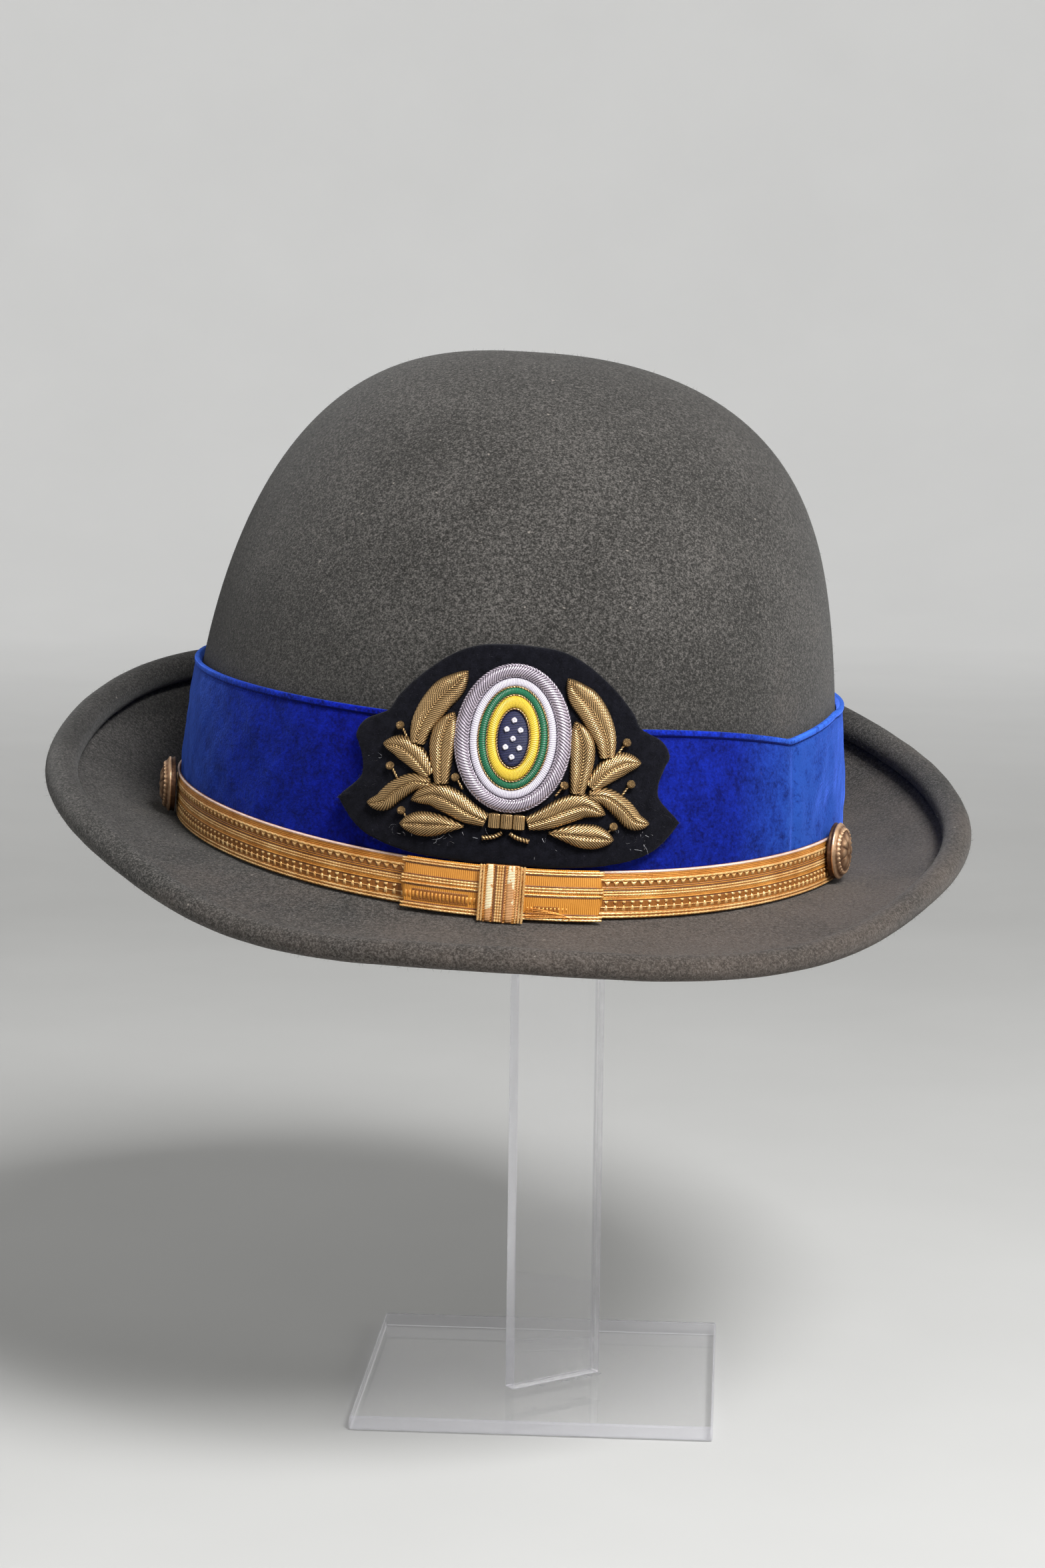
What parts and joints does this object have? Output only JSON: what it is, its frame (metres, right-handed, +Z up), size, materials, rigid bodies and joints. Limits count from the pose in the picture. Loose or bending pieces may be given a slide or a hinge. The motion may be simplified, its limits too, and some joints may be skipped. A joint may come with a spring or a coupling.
{
  "type": "felt hat on display stand",
  "caption": "Round-crowned felt hat with rolled brim, velvet band, gold braid and embroidered wreath badge, held on a clear acrylic stand.",
  "frame": {"origin": "centre of the underside of the stand's base plate", "axes": "+Z up, -Y towards the front of the base plate, which the badge faces within 4 degrees, +X to the viewer's right"},
  "size_m": [0.2536, 0.2776, 0.2946],
  "materials": {
    "felt": "matt dark olive grey fur felt",
    "velvet": "royal blue velvet with a short pile",
    "braid": "old gold woven braid",
    "gilt": "worn gilt, coppery",
    "wool": "black wool cloth",
    "silver": "silver bullion wire",
    "satin": "white satin stitch",
    "green_thread": "green satin stitch",
    "yellow_thread": "yellow satin stitch",
    "navy_thread": "dark blue satin stitch",
    "bullion": "old gold bullion wire over padding",
    "acrylic": "clear polished acrylic"
  },
  "bodies": {
    "root": {"felt_body": "felt", "velvet_band": "velvet", "braid_strap": "braid", "braid_bow": "braid", "braid_knot": "braid", "button_left": "gilt", "button_right": "gilt", "badge_backing": "wool", "oval_border": "silver", "oval_white": "satin", "oval_green": "green_thread", "oval_yellow": "yellow_thread", "oval_centre": "navy_thread", "leaf_left_1": "bullion", "leaf_left_2": "bullion", "leaf_left_3": "bullion", "leaf_left_4": "bullion", "leaf_left_5": "bullion", "leaf_left_6": "bullion", "berry_left_1": "bullion", "berry_left_2": "bullion", "berry_left_3": "bullion", "berry_left_4": "bullion", "tie_tail_left": "bullion", "leaf_right_1": "bullion", "leaf_right_2": "bullion", "leaf_right_3": "bullion", "leaf_right_4": "bullion", "leaf_right_5": "bullion", "leaf_right_6": "bullion", "berry_right_1": "bullion", "berry_right_2": "bullion", "berry_right_3": "bullion", "berry_right_4": "bullion", "tie_tail_right": "bullion", "wreath_tie": "bullion", "stand_base": "acrylic", "stand_upright": "acrylic", "stand_head": "acrylic"}
  },
  "joints": []
}
